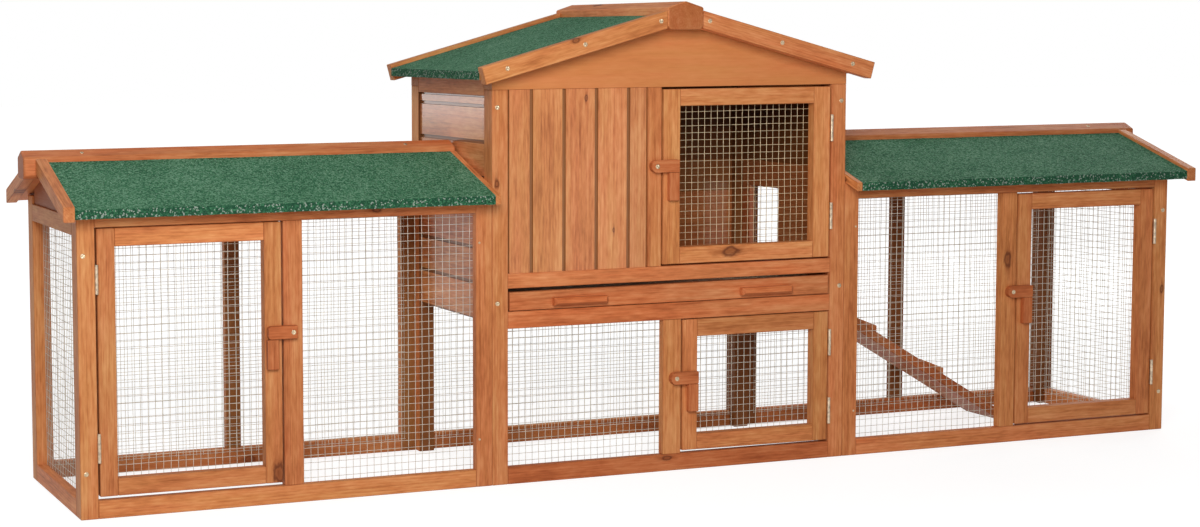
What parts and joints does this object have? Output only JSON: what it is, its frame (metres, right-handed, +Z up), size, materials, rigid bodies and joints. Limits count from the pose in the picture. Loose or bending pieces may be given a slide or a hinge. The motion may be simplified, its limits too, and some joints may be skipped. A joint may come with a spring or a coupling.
{
  "type": "two-storey animal hutch",
  "caption": "Wooden two-storey small-animal hutch: a gabled house with a pull-out tray between two low mesh runs, with hinged doors, turn buttons and a ramp.",
  "frame": {"origin": "on the ground under the middle of the hutch", "axes": "+X to the right along the length, +Y to the back, +Z up"},
  "size_m": [2.26, 0.45, 0.8349],
  "materials": {
    "frame_wood": "orange-brown stained fir, satin",
    "board_wood": "orange-brown stained fir boards, satin",
    "roof_felt": "green mineral-granule roofing felt, matt",
    "mesh_wire": "galvanized welded wire",
    "zinc_hardware": "bright zinc plate",
    "tray_metal": "galvanized sheet"
  },
  "bodies": {
    "hutch_frame": {"left_run_front_frame": "frame_wood", "left_run_back_frame": "frame_wood", "left_run_end_rails": "frame_wood", "left_run_gable_board": "board_wood", "left_run_mesh": "mesh_wire", "left_run_ridge": "frame_wood", "left_run_roof_boards": "board_wood", "left_run_roof_felt": "roof_felt", "left_run_rakes": "frame_wood", "right_run_front_frame": "frame_wood", "right_run_back_frame": "frame_wood", "right_run_end_rails": "frame_wood", "right_run_gable_board": "board_wood", "right_run_mesh": "mesh_wire", "right_run_ridge": "frame_wood", "right_run_roof_boards": "board_wood", "right_run_roof_felt": "roof_felt", "right_run_rakes": "frame_wood", "house_corner_posts": "frame_wood", "house_front_frame": "frame_wood", "house_back_frame": "frame_wood", "house_side_rails": "frame_wood", "house_front_boards": "board_wood", "house_left_siding": "board_wood", "house_right_siding": "board_wood", "house_back_siding": "board_wood", "house_gable_boards": "board_wood", "house_mesh": "mesh_wire", "house_ridge": "frame_wood", "house_roof_boards": "board_wood", "house_roof_felt": "roof_felt", "house_rakes": "frame_wood", "tray_runners": "frame_wood", "hinge_post_leaves": "zinc_hardware", "hinge_pins": "zinc_hardware", "latch_screws": "zinc_hardware", "frame_screws": "zinc_hardware", "ramp_board": "frame_wood", "ramp_cleats": "frame_wood", "ramp_bearer": "frame_wood"},
    "left_run_door": {"left_run_door_frame": "frame_wood", "left_run_door_mesh": "mesh_wire", "left_run_door_hinge_leaves": "zinc_hardware"},
    "left_run_latch": {"left_run_latch": "frame_wood"},
    "right_run_door": {"right_run_door_frame": "frame_wood", "right_run_door_mesh": "mesh_wire", "right_run_door_hinge_leaves": "zinc_hardware"},
    "right_run_latch": {"right_run_latch": "frame_wood"},
    "house_upper_door": {"house_upper_door_frame": "frame_wood", "house_upper_door_mesh": "mesh_wire", "house_upper_door_hinge_leaves": "zinc_hardware"},
    "house_upper_latch": {"house_upper_latch": "frame_wood"},
    "house_lower_door": {"house_lower_door_frame": "frame_wood", "house_lower_door_mesh": "mesh_wire", "house_lower_door_hinge_leaves": "zinc_hardware"},
    "house_lower_latch": {"house_lower_latch": "frame_wood"},
    "tray": {"tray_front": "frame_wood", "tray_pan": "tray_metal", "tray_pulls": "frame_wood"}
  },
  "joints": [
    {"name": "left_run_door_hinge", "type": "hinge", "parent": "hutch_frame", "child": "left_run_door", "pos_m": [-1.0485, -0.186, 0], "axis": [0, 0, -1], "range_deg": [0, 170]},
    {"name": "right_run_door_hinge", "type": "hinge", "parent": "hutch_frame", "child": "right_run_door", "pos_m": [1.0485, -0.186, 0], "axis": [0, 0, 1], "range_deg": [0, 170]},
    {"name": "house_upper_door_hinge", "type": "hinge", "parent": "hutch_frame", "child": "house_upper_door", "pos_m": [0.3205, -0.186, 0], "axis": [0, 0, 1], "range_deg": [0, 120]},
    {"name": "house_lower_door_hinge", "type": "hinge", "parent": "hutch_frame", "child": "house_lower_door", "pos_m": [0.3205, -0.186, 0], "axis": [0, 0, 1], "range_deg": [0, 170]},
    {"name": "left_run_latch_turn", "type": "hinge", "parent": "hutch_frame", "child": "left_run_latch", "pos_m": [-0.717, -0.183, 0.2895], "axis": [0, 1, 0], "range_deg": [0, 90]},
    {"name": "right_run_latch_turn", "type": "hinge", "parent": "hutch_frame", "child": "right_run_latch", "pos_m": [0.717, -0.183, 0.288], "axis": [0, -1, 0], "range_deg": [0, 90]},
    {"name": "house_upper_latch_turn", "type": "hinge", "parent": "hutch_frame", "child": "house_upper_latch", "pos_m": [-0.039, -0.183, 0.546], "axis": [0, -1, 0], "range_deg": [0, 90]},
    {"name": "house_lower_latch_turn", "type": "hinge", "parent": "hutch_frame", "child": "house_lower_latch", "pos_m": [0.002, -0.183, 0.167], "axis": [0, -1, 0], "range_deg": [0, 90]},
    {"name": "tray_slide", "type": "slide", "parent": "hutch_frame", "child": "tray", "axis": [0, -1, 0], "range_m": [0, 0.3]}
  ]
}
